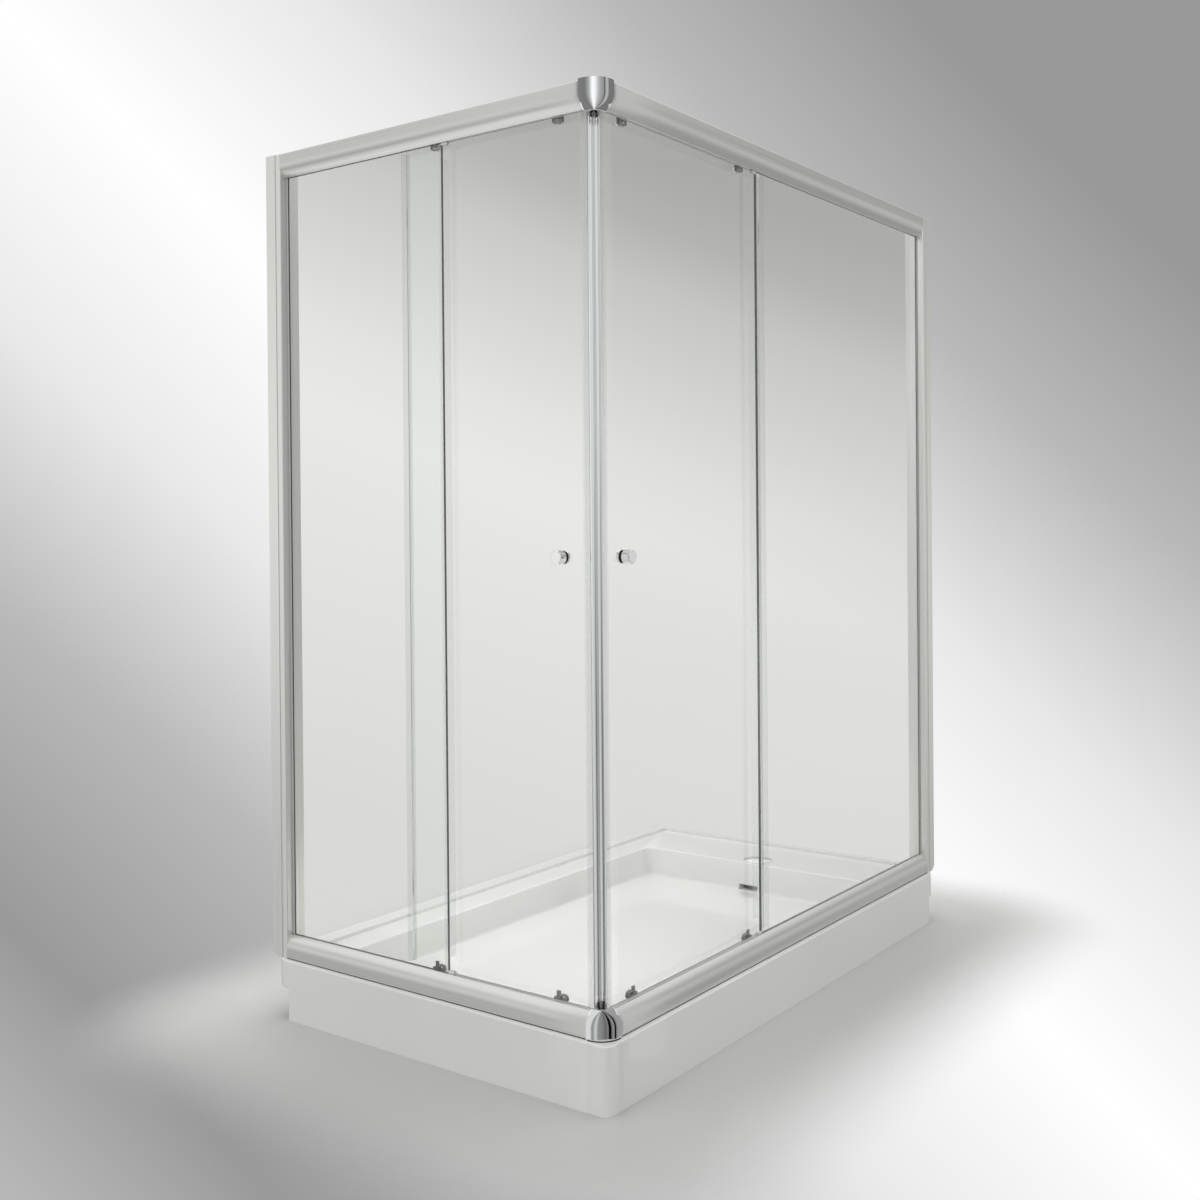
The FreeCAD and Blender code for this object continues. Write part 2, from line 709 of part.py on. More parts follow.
def knob_fixings():
    """Threaded stud through the glass, with a dark washer under each knob."""
    z = rim_level + knob_height
    start = door_face - washer - knob_bore["outer"]
    end = door_back + washer + knob_bore["inner"]
    pieces = [cylinder(stud_radius, V(knob_from_corner, start, z), V(0, 1, 0), end - start)]
    for y in (door_face - washer, door_back):
        disc = cylinder(washer_radius, V(knob_from_corner, y, z), V(0, 1, 0), washer)
        pieces.append(disc.cut(cylinder(stud_radius, V(knob_from_corner, y - 1, z), V(0, 1, 0), washer + 2)))
    return pieces


# ---- rollers ----

def plate_outline(points, y, thickness):
    """Flat plate across the glass from corner points (x, z, radius)."""
    edges = []
    ends = []
    for i, (x, z, radius) in enumerate(points):
        here = V(x, y, z)
        before = V(points[i - 1][0], y, points[i - 1][1])
        following = points[(i + 1) % len(points)]
        a = (before - here).normalize()
        b = (V(following[0], y, following[1]) - here).normalize()
        half = a.getAngle(b) / 2
        cut = radius / math.tan(half)
        start, end = here + a * cut, here + b * cut
        if radius:
            middle = here + (a + b).normalize() * (radius / math.sin(half) - radius)
            edges.append(arc_through(start, middle, end))
        ends.append((start, end))
    for (_, end), (start, _) in zip(ends, ends[1:] + ends[:1]):
        edges.append(Part.makeLine(end, start))
    return closed_face(Part.sortEdges(edges)[0]).extrude(V(0, thickness, 0))


def axle(x, level):
    """Stub axle that stands out of a roller plate, and the shoulder that spaces the wheel from it."""
    start = rib_centre - wheel_width / 2 - 0.1
    shoulder_start = rib_centre + wheel_width / 2 + 0.15
    end = bracket_face + 0.5
    return [cylinder(axle_radius, V(x, start, level), V(0, 1, 0), end - start),
            cylinder(axle_shoulder, V(x, shoulder_start, level), V(0, 1, 0), end - shoulder_start)]


def top_bracket(x):
    """Hanger plate with its axle, and the foot that shows under the top rail."""
    def level(h):
        return screen_top - h

    half = hanger_half
    low, high = hanger_foot[1] + 0.4, hanger_shoulder
    back = door_face - plate_gap
    plate = plate_outline([(x - half, level(low), 3), (x + half, level(low), 3), (x + half, level(high), 0),
                           (x + 6, level(25), 4), (x - 6, level(25), 4), (x - half, level(high), 0)],
                          bracket_face, back - bracket_face)
    foot = plate_outline([(x - half, level(hanger_foot[1]), 3), (x + half, level(hanger_foot[1]), 3),
                          (x + half, level(hanger_foot[0]), 1.5), (x - half, level(hanger_foot[0]), 1.5)],
                         hanger_front, bracket_face - hanger_front + 0.5)
    hole = cylinder(roller_screw + 0.1, V(x, hanger_front - 1, level(screw_level_top)), V(0, 1, 0), 12)
    seat = cylinder(4.6, V(x, hanger_front - 1, level(screw_level_top)), V(0, 1, 0), 3.7)
    return one_solid(plate.fuse([foot] + axle(x, level(axle_level))).cut([hole, seat]))


def bottom_housing(x):
    """Arched housing above the bottom rail, with a pocket for the spring-loaded wheel carrier."""
    def level(g):
        return rim_level + g

    half = housing_half
    back = door_face - plate_gap
    step = button_span[0] - 1.2
    plate = plate_outline([(x - half, level(housing_base), 0), (x + half, level(housing_base), 0),
                           (x + half, level(housing_shoulder), 2), (x + step, level(housing_shoulder), 0),
                           (x + step, level(housing_arch), 1.5), (x - half, level(housing_arch), 8)],
                          housing_front, back - housing_front)
    window = plate_outline([(x - half + 3.5, level(52), 1), (x + step - 1.8, level(52), 1),
                            (x + step - 1.8, level(57.5), 1), (x - half + 3.5, level(57.5), 4)],
                           housing_front - 1, back - housing_front + 2)
    pocket = box(x + button_span[0] - button_gap, x + button_span[1] + button_gap, housing_front + 1.5,
                 housing_back, level(housing_base - 1), level(housing_arch + 1))
    tail = plate_outline([(x - 8, level(27), 3), (x + 8.4, level(27), 3), (x + half - 4, level(housing_base + 1), 0),
                          (x - half + 4, level(housing_base + 1), 0)], housing_back, back - housing_back)
    guide = box(x - 8, x - 5.4, bracket_face, housing_back + 0.1, level(29), level(housing_base + 0.5))
    passage = box(x - 5.4, x + button_span[1] + button_gap, bracket_face - 0.4, housing_back,
                  level(housing_base - 1), level(51))
    hole = cylinder(roller_screw + 0.1, V(x, housing_back - 1, level(screw_level_bottom)), V(0, 1, 0), 8)
    seat = cylinder(4.0, V(x, housing_back - 1, level(screw_level_bottom)), V(0, 1, 0), 2.2)
    return one_solid(plate.cut([window, pocket, passage]).fuse([tail, guide]).cut([hole, seat]))


def wheel_carrier(x):
    """Sliding carrier: ribbed push button on top, stub axle for the wheel below."""
    def level(g):
        return rim_level + g

    face = bracket_face
    thick = 1.8
    b0, b1 = x + button_span[0], x + button_span[1]
    blade = plate_outline([(x - 5.1, level(27), 3), (x + 5.1, level(27), 3), (x + 5.1, level(40), 0),
                           (b1, level(46), 0), (b1, level(button_top), 0), (b0, level(button_top), 0),
                           (b0, level(50), 0), (x - 5.1, level(50), 0)], face, thick)
    foot = housing_base + release_travel + 0.4
    button = box(b0, b1, button_front, face + thick, level(foot), level(button_top))
    grooves = [box(b0 - 1, b1 + 1, button_front - 1, button_front + 0.6, level(z), level(z + 1))
               for z in (foot + 3, foot + 5.4, foot + 7.8)]
    start = rib_centre - wheel_width / 2 - 0.1
    stub = cylinder(axle_radius, V(x, start, level(axle_level)), V(0, 1, 0), face - start + 0.5)
    return one_solid(blade.fuse([button, stub]).cut(grooves))


def wheel(x, z):
    """Grooved nylon wheel that runs on the track's rib."""
    half = wheel_width / 2
    profile = [(wheel_bore, -half), (wheel_flange - 0.6, -half), (wheel_flange, -half + 0.6),
               (wheel_flange, -half + 1.1), (wheel_tread, -1.0), (wheel_tread, 1.0),
               (wheel_flange, half - 1.1), (wheel_flange, half - 0.6), (wheel_flange - 0.6, half),
               (wheel_bore, half)]
    points = [V(r, y, 0) for r, y in profile]
    body = Part.Solid(closed_face(ring_of(points)).revolve(V(0, 0, 0), V(0, 1, 0), 360))
    pockets = []
    count = 5
    for i in range(count):
        angle = 2 * math.pi * i / count
        across = wheel_pocket_ring * math.cos(angle)
        up = wheel_pocket_ring * math.sin(angle)
        pockets.append(cylinder(wheel_pocket, V(across, -half - 1, up), V(0, 1, 0), 3))
    body = body.cut(pockets)
    body.translate(V(x, rib_centre, z))
    return body.Solids[0]


def roller_screws(side):
    """Screws that clamp the roller plates to the glass, with domed nuts on the inside."""
    pieces = []
    for top, z, start, radius, thick in ((True, screen_top - screw_level_top, 44.6, 4.2, 2.4),
                                         (False, rim_level + screw_level_bottom, 51.0, 3.7, 0.9)):
        for x in roller_places(side, top).values():
            head = cylinder(radius, V(x, start, z), V(0, 1, 0), thick)
            shank = cylinder(roller_screw, V(x, start, z), V(0, 1, 0), door_back + 3 - start)
            flange = cylinder(nut_flange, V(x, door_back + plate_gap, z), V(0, 1, 0), 2)
            dome = Part.makeSphere(nut_dome, V(x, door_back - 0.7, z))
            dome = dome.common(box(x - 9, x + 9, door_back + 2, door_back + 9, z - 9, z + 9))
            pieces.append(one_solid(shank.fuse([head, flange, dome])))
    return pieces


# ---- tray and waste ----

def basin_frame(grow):
    """Opening and floor corners of the basin, grown for the shell's outside."""
    x0 = -long_side / 2 + near_ledge - grow
    x1 = long_side / 2 - deck_width + grow
    y0 = -short_side / 2 + near_ledge - grow
    y1 = short_side / 2 - back_ledge + grow
    return x0, x1, y0, y1


def basin_solid(grow, top_level, floor_near, floor_far):
    """Lofted bowl between the opening and a tilted floor."""
    x0, x1, y0, y1 = basin_frame(grow)
    radius = basin_radius + grow
    upper = rounded_outline(x0, x1, y0, y1, [radius] * 4, top_level)
    drop = basin_draft
    lower = rounded_outline(x0 + drop, x1 - drop, y0 + drop, y1 - drop, [radius - drop] * 4, floor_far)
    if floor_near != floor_far:
        slope = math.degrees(math.atan2(floor_near - floor_far, x1 - x0 - 2 * drop))
        lower.rotate(V(x1 - drop, 0, floor_far), V(0, 1, 0), slope)
    return Part.makeLoft([upper, lower], True, True)


def tray():
    """Acrylic tray: rim, two full-height aprons, end deck and a falling basin."""
    x0, x1 = -long_side / 2, long_side / 2
    y0, y1 = -short_side / 2, short_side / 2
    t = tray_wall
    radii = [near_radius, end_radius, wall_corner_radius, end_radius]
    inner_radii = [radius - t for radius in radii]
    rim_low = tray_height - rim_skirt
    block = Part.Face(rounded_outline(x0, x1, y0, y1, radii, rim_low)).extrude(V(0, 0, rim_skirt))
    block = block.makeFillet(rim_edge, [edge for edge in block.Edges if abs(edge.BoundBox.ZMin - tray_height) < 0.01
                                 and abs(edge.BoundBox.ZMax - tray_height) < 0.01])
    hollow = Part.Face(rounded_outline(x0 + t, x1 - t, y0 + t, y1 - t, inner_radii, rim_low - 1))
    body = block.cut(hollow.extrude(V(0, 0, rim_skirt + 1 - t)))
    apron = Part.Face(rounded_outline(x0, x1 - apron_setback, y0, y1 - apron_setback,
                                      [near_radius] + [inner_corner] * 3, 0)).extrude(V(0, 0, rim_low + 2))
    apron_hollow = Part.Face(rounded_outline(x0 + t, x1, y0 + t, y1,
                                             [near_radius - t] + [inner_corner] * 3, -1))
    apron = apron.cut(apron_hollow.extrude(V(0, 0, rim_low + 4)))
    body = body.fuse(apron)
    bowl = basin_solid(t, tray_height - 1, floor_underside, floor_underside)
    body = body.fuse(bowl)
    basin = basin_solid(0, tray_height, floor_low + floor_fall, floor_low)
    floor_edges = [edge for edge in basin.Edges if edge.BoundBox.ZMax < floor_low + floor_fall + 1]
    body = body.cut(basin.makeFillet(basin_cove, floor_edges))
    bx0, bx1, by0, by1 = basin_frame(1)
    rim_edges = [edge for edge in body.Edges if edge.BoundBox.ZMin > tray_height - 0.01
                 and edge.BoundBox.XMin > bx0 and edge.BoundBox.XMax < bx1
                 and edge.BoundBox.YMin > by0 and edge.BoundBox.YMax < by1]
    body = body.makeFillet(basin_edge, rim_edges)
    clear = channel_back + 3
    long_lip = box(x0 + clear, x1, y1 - tile_lip_long_wall, y1, tray_height - 2, tray_height + tile_lip_height)
    end_lip = box(x1 - tile_lip_end_wall, x1, y0 + clear, y1, tray_height - 2, tray_height + tile_lip_height)
    lips = long_lip.fuse(end_lip)
    corner = Part.Face(rounded_outline(x0, x1, y0, y1, radii, tray_height - 3)).extrude(V(0, 0, 20))
    body = body.fuse(lips.common(corner))
    cap_x = x1 - deck_width + deck_cap_from_edge
    body = body.cut(cylinder(trap_hole, V(cap_x, 0, tray_height - 20), V(0, 0, 1), 40))
    wall_x = x1 - deck_width
    inlet = box(wall_x - basin_draft - 6, wall_x + 12, -inlet_width / 2, inlet_width / 2,
                floor_low + 2, floor_low + 2 + inlet_height)
    return one_solid(body.cut(inlet))


def trap():
    """Trap under the deck: cup with an inlet duct from the basin and a side outlet."""
    x1 = long_side / 2
    cap_x = x1 - deck_width + deck_cap_from_edge
    top = tray_height - tray_wall - 0.1
    cup = cylinder(trap_radius, V(cap_x, 0, trap_floor), V(0, 0, 1), top - trap_floor)
    duct_x = x1 - deck_width - 0.5
    low = floor_low + 2
    duct = box(duct_x - 2, cap_x, -inlet_width / 2 - 3, inlet_width / 2 + 3, low - 3, low + inlet_height + 3)
    pipe = cylinder(outlet_radius, V(cap_x, 0, outlet_level), V(1, 0, 0), x1 - 6 - cap_x)
    nut = cylinder(outlet_radius + 5, V(cap_x, 0, outlet_level), V(1, 0, 0), trap_radius + nut_reach)
    body = cup.fuse([duct, pipe, nut])
    inside = cylinder(trap_radius - 3, V(cap_x, 0, trap_floor + 3), V(0, 0, 1), top - trap_floor)
    inlet = box(duct_x - 4, cap_x, -inlet_width / 2, inlet_width / 2, low, low + inlet_height)
    bore = cylinder(outlet_bore, V(cap_x, 0, outlet_level), V(1, 0, 0), x1 - cap_x)
    body = body.cut([inside, inlet, bore])
    bowl = basin_solid(tray_wall, tray_height - 1, floor_underside, floor_underside)
    return one_solid(body.cut(bowl))


def waste_cap():
    """Domed cover that lifts out of the deck for cleaning the trap."""
    x1 = long_side / 2
    cap_x = x1 - deck_width + deck_cap_from_edge
    z = tray_height + 0.1
    r = cap_radius
    skirt = trap_hole - 0.6
    points = [V(0, 0, z), V(skirt - 2, 0, z), V(skirt - 2, 0, z - 11), V(skirt, 0, z - 11), V(skirt, 0, z),
              V(r, 0, z), V(r, 0, z + 1.6)]
    edges = [Part.makeLine(a, b) for a, b in zip(points, points[1:])]
    crown = V(6, 0, z + cap_dome)
    edges.append(arc_through(V(r, 0, z + 1.6), V(r * 0.6, 0, z + cap_dome - 1.6), crown))
    edges.append(Part.makeLine(crown, V(0, 0, z + cap_dome)))
    edges.append(Part.makeLine(V(0, 0, z + cap_dome), V(0, 0, z)))
    body = Part.Solid(closed_face(edges).revolve(V(0, 0, 0), V(0, 0, 1), 360))
    body.translate(V(cap_x, 0, 0))
    return body


def base_board():
    """Stiffening board bonded under the basin floor."""
    x0, x1, y0, y1 = basin_frame(-basin_draft - board_inset)
    wire = rounded_outline(x0, x1, y0, y1, [board_radius] * 4, floor_underside - board_thickness)
    return Part.Face(wire).extrude(V(0, 0, board_thickness))


def foot_places():
    x0, x1, y0, y1 = basin_frame(-basin_draft - foot_inset)
    return [(x, y) for x in (x0, (x0 + x1) / 2, x1) for y in (y0, y1)]


def tray_feet():
    """Threaded feet with pad and lock nut."""
    pieces = []
    under = floor_underside - board_thickness
    for x, y in foot_places():
        pad = Part.makeCone(foot_pad_radius, foot_pad_radius - 5, foot_pad_height, V(x, y, 0), V(0, 0, 1))
        rod = cylinder(foot_rod_radius, V(x, y, foot_pad_height - 1), V(0, 0, 1), under - foot_pad_height + 1)
        corners = [V(x + foot_nut_radius * math.cos(math.pi * i / 3),
                     y + foot_nut_radius * math.sin(math.pi * i / 3), under - foot_nut_height) for i in range(7)]
        nut = Part.Face(Part.makePolygon(corners)).extrude(V(0, 0, foot_nut_height))
        pieces.append(one_solid(pad.fuse([rod, nut])))
    return pieces


def build():
    save("shower_tray", tray())
    save("tray_base_board", base_board())
    save("tray_feet", tray_feet())
    save("waste_trap", trap())
    save("waste_cap", waste_cap())
    for name, top in (("top", True), ("bottom", False)):
        for side in ("short", "long"):
            save(name + "_rail_" + side, put(side, rail(side, top)))
        save("corner_cap_" + name, put("long", corner_cap(top)))
        save("corner_bracket_" + name, put("long", corner_bracket(top)))
    save("bracket_screws", bracket_screws(True) + bracket_screws(False))
    frame_screws = []
    stops = []
    blocks = []
    for side in ("short", "long"):
        save("wall_channel_" + side, put(side, wall_channel(side)))
        save("stile_" + side, put(side, stile(side)))
        save("fixed_glass_" + side, put(side, fixed_glass(side)))
        save("pane_seal_" + side, put(side, pane_seal(side)))
        save("glazing_gasket_" + side, [put(side, piece) for piece in glazing_gaskets(side)])
        frame_screws += [put(side, piece) for piece in stile_screws(side)]
        stops += [put(side, piece) for piece in track_stops(side)]
        blocks += [put(side, piece) for piece in pane_stops(side)]
    save("frame_screws", frame_screws)
    save("track_stops", stops)
    save("pane_stops", blocks)
    for side in ("short", "long"):
        save("door_glass_" + side, put(side, door_glass(side)))
        save("magnet_strip_" + side, put(side, closing_strip()))
        save("strip_carrier_" + side, put(side, strip_carrier()))
        save("rear_seal_" + side, put(side, rear_seal(side)))
        save("knob_outer_" + side, put(side, knob("outer")))
        save("knob_inner_" + side, put(side, knob("inner")))
        save("knob_fixings_" + side, [put(side, piece) for piece in knob_fixings()])
        upper = roller_places(side, True)
        lower = roller_places(side, False)
        save("top_brackets_" + side, [put(side, top_bracket(x)) for x in upper.values()])
        save("bottom_housings_" + side, [put(side, bottom_housing(x)) for x in lower.values()])
        save("roller_screws_" + side, [put(side, piece) for piece in roller_screws(side)])
        for name in ("front", "rear"):
            save("top_wheel_" + side + "_" + name, put(side, wheel(upper[name], screen_top - axle_level)))
            save("bottom_wheel_" + side + "_" + name, put(side, wheel(lower[name], rim_level + axle_level)))
            save("wheel_carrier_" + side + "_" + name, put(side, wheel_carrier(lower[name])))


build()
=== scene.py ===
import bmesh
import bpy
import math
from mathutils import Matrix, Vector


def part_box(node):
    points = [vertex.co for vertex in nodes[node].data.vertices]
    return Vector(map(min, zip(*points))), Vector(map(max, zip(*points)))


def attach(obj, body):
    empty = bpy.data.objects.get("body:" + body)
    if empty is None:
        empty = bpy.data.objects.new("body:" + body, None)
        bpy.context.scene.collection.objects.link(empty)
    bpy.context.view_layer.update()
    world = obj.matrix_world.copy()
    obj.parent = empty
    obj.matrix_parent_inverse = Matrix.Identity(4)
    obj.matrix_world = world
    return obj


# Corner-entry shower enclosure: finishes, trim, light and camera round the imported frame.

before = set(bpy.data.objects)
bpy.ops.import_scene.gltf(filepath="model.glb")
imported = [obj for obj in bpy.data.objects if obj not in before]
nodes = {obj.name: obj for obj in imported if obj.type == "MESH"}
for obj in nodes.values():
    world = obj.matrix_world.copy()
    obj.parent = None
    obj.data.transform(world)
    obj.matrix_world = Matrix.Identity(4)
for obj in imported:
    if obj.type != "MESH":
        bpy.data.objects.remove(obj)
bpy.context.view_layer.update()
print("frame loaded with", len(nodes), "nodes")


# Turns an sRGB hex value into the linear colour that a socket takes.
def linear(hexColour):
    channels = [int(hexColour[i:i + 2], 16) / 255 for i in (1, 3, 5)]
    return [c / 12.92 if c <= 0.04045 else ((c + 0.055) / 1.055) ** 2.4 for c in channels] + [1.0]


# Adds one node; inputs are values or the sockets that feed them.
def addNode(tree, kind, inputs=None, **settings):
    node = tree.nodes.new(kind)
    for name, value in settings.items():
        setattr(node, name, value)
    for name, value in (inputs or {}).items():
        if isinstance(value, bpy.types.NodeSocket):
            tree.links.new(value, node.inputs[name])
        else:
            node.inputs[name].default_value = value
    return node


# Starts a material from its shader's plain values and gives back what its pattern needs.
def startMaterial(name, values):
    material = bpy.data.materials.new(name)
    material.use_nodes = True
    tree = material.node_tree
    shader = tree.nodes["Principled BSDF"]
    for socket, value in values.items():
        shader.inputs[socket].default_value = linear(value) if isinstance(value, str) else value
    place = addNode(tree, "ShaderNodeTexCoord").outputs["Object"]
    return material, tree, shader, place


roundingSamples = 4


# Joins a height pattern to the shader as relief, with a small rounding of hard edges.
def addRelief(tree, shader, height, settings):
    rounded = addNode(tree, "ShaderNodeBevel", {"Radius": settings["edge"]}, samples=roundingSamples)
    relief = addNode(tree, "ShaderNodeBump", {
        "Strength": settings["relief"], "Distance": settings["depth"], "Height": height,
        "Normal": rounded.outputs["Normal"]})
    tree.links.new(relief.outputs["Normal"], shader.inputs["Normal"])


# Sizes in the finishes are metres.
anodised = {
    "bar": "#D5D5D2",
    "upright": "#E8E8E5",       # the uprights are paler than the bars
    "roughness": 0.34,
    "roughSpread": 0.07,
    "streakWidth": 0.0030,      # die lines are finer; drawn this wide so that they show
    "streakLength": 0.60,
    "streakBand": (0.3, 0.7),
    "relief": 0.10, "depth": 0.0002, "edge": 0.0006,
}


# Satin silver anodised aluminium, extruded: soft sheen with faint lines along the bar.
def anodisedAluminium(name, along, colour):
    roughness, spread = anodised["roughness"], anodised["roughSpread"]
    material, tree, shader, place = startMaterial(name, {
        "Base Color": colour, "Metallic": 1.0, "Roughness": roughness})
    stretch = [1 / anodised["streakLength"] if axis == along else 1 / anodised["streakWidth"]
               for axis in range(3)]
    mapped = addNode(tree, "ShaderNodeMapping", {"Vector": place, "Scale": stretch})
    lines = addNode(tree, "ShaderNodeTexNoise", {
        "Vector": mapped.outputs[0], "Scale": 1.0, "Detail": 3.0})
    faint, strong = anodised["streakBand"]
    rough = addNode(tree, "ShaderNodeMapRange", {
        "Value": lines.outputs["Fac"], "From Min": faint, "From Max": strong,
        "To Min": roughness - spread, "To Max": roughness + spread})
    tree.links.new(rough.outputs[0], shader.inputs["Roughness"])
    addRelief(tree, shader, lines.outputs["Fac"], anodised)
    return material


chrome = {
    "colour": "#EEEFF0",
    "bright": 0.04,             # roughness of the covers and knobs
    "satin": 0.13,              # roughness of the closing strips
    "wipeSize": 0.012,
    "wipeBand": (0.35, 0.75),
    "wipeRoughness": 0.05,
    "relief": 0.02, "depth": 0.0001, "edge": 0.0005,
}


# Chrome plating on brass and zinc: sharp dark and light reflections, faint wipe marks.
def chromePlate(name, roughness):
    material, tree, shader, place = startMaterial(name, {
        "Base Color": chrome["colour"], "Metallic": 1.0, "Roughness": roughness})
    wipes = addNode(tree, "ShaderNodeTexNoise", {
        "Vector": place, "Scale": 1 / chrome["wipeSize"], "Detail": 4.0})
    clean, wiped = chrome["wipeBand"]
    rough = addNode(tree, "ShaderNodeMapRange", {
        "Value": wipes.outputs["Fac"], "From Min": clean, "From Max": wiped,
        "To Min": roughness, "To Max": roughness + chrome["wipeRoughness"]})
    tree.links.new(rough.outputs[0], shader.inputs["Roughness"])
    addRelief(tree, shader, wipes.outputs["Fac"], chrome)
    return material


glass = {
    "colour": "#FDFEFD",
    "ior": 1.52,
    "edgeTint": "#9CCDB6",
    "edgeDepth": 0.6,
}


# Clear toughened float glass: open to the eye, green where one looks along the sheet.
def toughenedGlass():
    material, tree = startMaterial("toughenedGlass", {
        "Base Color": glass["colour"], "Roughness": 0.0, "IOR": glass["ior"],
        "Transmission Weight": 1.0})[:2]
    tint = addNode(tree, "ShaderNodeVolumeAbsorption", {
        "Color": linear(glass["edgeTint"]), "Density": glass["edgeDepth"]})
    tree.links.new(tint.outputs[0], tree.nodes["Material Output"].inputs["Volume"])
    return material


clearSeal = {
    "colour": "#EEF1F0",
    "roughness": 0.16,
    "ior": 1.46,
    "haze": 0.12,               # how much of the strip the eye takes in; the rest is seen through
    "ripple": 0.006,
    "relief": 0.15, "depth": 0.0003, "edge": 0.0002,
}


# Clear soft vinyl, extruded: a faint band on the glass edge, with slow ripples down its length.
def clearVinyl():
    material, tree, shader, place = startMaterial("clearVinyl", {
        "Base Color": clearSeal["colour"], "Roughness": clearSeal["roughness"],
        "IOR": clearSeal["ior"], "Alpha": clearSeal["haze"]})
    ripples = addNode(tree, "ShaderNodeTexNoise", {
        "Vector": place, "Scale": 1 / clearSeal["ripple"], "Detail": 2.0})
    addRelief(tree, shader, ripples.outputs["Fac"], clearSeal)
    return material


acrylic = {
    "colour": "#EFEFED", "shade": "#E6E6E3",
    "roughness": 0.13,
    "ior": 1.49,
    "coat": 0.3, "coatRoughness": 0.06,
    "cloud": 0.35,
    "orangePeel": 0.009,
    "relief": 0.05, "depth": 0.0004, "edge": 0.0022,
}


# White cast acrylic, vacuum formed: deep gloss over a barely uneven sheet.
def formedAcrylic():
    material, tree, shader, place = startMaterial("formedAcrylic", {
        "Base Color": acrylic["colour"], "Roughness": acrylic["roughness"], "IOR": acrylic["ior"],
        "Coat Weight": acrylic["coat"], "Coat Roughness": acrylic["coatRoughness"]})
    cloud = addNode(tree, "ShaderNodeTexNoise", {
        "Vector": place, "Scale": 1 / acrylic["cloud"], "Detail": 2.0})
    tone = addNode(tree, "ShaderNodeMix", {
        "Factor": cloud.outputs["Fac"], "A": linear(acrylic["colour"]),
        "B": linear(acrylic["shade"])}, data_type="RGBA")
    tree.links.new(tone.outputs["Result"], shader.inputs["Base Color"])
    peel = addNode(tree, "ShaderNodeTexNoise", {
        "Vector": place, "Scale": 1 / acrylic["orangePeel"], "Detail": 1.0})
    addRelief(tree, shader, peel.outputs["Fac"], acrylic)
    return material


greyPolyamide = {               # glass-filled nylon, satin from the mould
    "colour": "#9EA0A1", "shade": "#939596", "roughness": 0.38, "ior": 1.53,
    "grain": 0.0012, "relief": 0.12, "depth": 0.0002, "edge": 0.0005,
}
whiteAcetal = {                 # waxy white roller plastic
    "colour": "#E4E3DE", "shade": "#DAD9D3", "roughness": 0.32, "ior": 1.48,
    "grain": 0.0016, "relief": 0.06, "depth": 0.0002, "edge": 0.0003,
}
whitePolypropylene = {          # waste fittings and blocks, soft sheen
    "colour": "#E9E9E6", "shade": "#DFDFDB", "roughness": 0.40, "ior": 1.49,
    "grain": 0.0020, "relief": 0.10, "depth": 0.0002, "edge": 0.0008,
}
greyGasket = {                  # extruded glazing gasket, pale and matt
    "colour": "#C2C3C2", "shade": "#CBCCCB", "roughness": 0.50, "ior": 1.52,
    "grain": 0.0014, "relief": 0.12, "depth": 0.0002, "edge": 0.0003,
}
blackRubberAndPaintedShadow = {                 # washers and buffers, dusty matt black; also the dark line of painted shadow under the lower rails and the lower corner cover
    "colour": "#2A2B2C", "shade": "#343536", "roughness": 0.60, "ior": 1.52,
    "grain": 0.0014, "relief": 0.18, "depth": 0.0002, "edge": 0.0003,
}
palePvc = {                     # extruded cover strip, pale grey
    "colour": "#D2D3D0", "shade": "#C9CAC7", "roughness": 0.42, "ior": 1.53,
    "grain": 0.0018, "relief": 0.06, "depth": 0.0002, "edge": 0.0003,
}


# Moulded or extruded plastic: its colour wanders a little and its skin has a fine eroded grain.
def mouldedPlastic(name, settings):
    material, tree, shader, place = startMaterial(name, {
        "Base Color": settings["colour"], "Roughness": settings["roughness"],
        "IOR": settings["ior"]})
    grain = addNode(tree, "ShaderNodeTexNoise", {
        "Vector": place, "Scale": 1 / settings["grain"], "Detail": 3.0})
    tone = addNode(tree, "ShaderNodeMix", {
        "Factor": grain.outputs["Fac"], "A": linear(settings["colour"]),
        "B": linear(settings["shade"])}, data_type="RGBA")
    tree.links.new(tone.outputs["Result"], shader.inputs["Base Color"])
    addRelief(tree, shader, grain.outputs["Fac"], settings)
    return material


steel = {
    "colour": "#B8B9BA",
    "roughness": 0.30,
    "roughSpread": (-0.08, 0.10),
    "turning": 0.0008,
    "relief": 0.10, "depth": 0.0001, "edge": 0.0004,
}


# Stainless steel, turned and pressed: grey metal with short tool marks.
def turnedSteel():
    material, tree, shader, place = startMaterial("turnedSteel", {
        "Base Color": steel["colour"], "Metallic": 1.0, "Roughness": steel["roughness"]})
    marks = addNode(tree, "ShaderNodeTexNoise", {
        "Vector": place, "Scale": 1 / steel["turning"], "Detail": 2.0})
    smoother, rougher = steel["roughSpread"]
    rough = addNode(tree, "ShaderNodeMapRange", {
        "Value": marks.outputs["Fac"], "To Min": steel["roughness"] + smoother,
        "To Max": steel["roughness"] + rougher})
    tree.links.new(rough.outputs[0], shader.inputs["Roughness"])
    addRelief(tree, shader, marks.outputs["Fac"], steel)
    return material


casting = {
    "colour": "#9C9D9F",
    "roughness": 0.48,
    "sand": 0.0022,
    "relief": 0.3, "depth": 0.0003, "edge": 0.0008,
}


# Die-cast zinc alloy, tumbled: dull grey with a pebbled skin.
def castAlloy():
    material, tree, shader, place = startMaterial("castAlloy", {
        "Base Color": casting["colour"], "Metallic": 1.0, "Roughness": casting["roughness"]})
    skin = addNode(tree, "ShaderNodeTexNoise", {
        "Vector": place, "Scale": 1 / casting["sand"], "Detail": 4.0})
    addRelief(tree, shader, skin.outputs["Fac"], casting)
    return material


board = {
    "colour": "#8E7350", "chip": "#B59A72",
    "chipSize": 0.009,
    "roughness": 0.66,
    "relief": 0.3, "depth": 0.0006, "edge": 0.001,
}


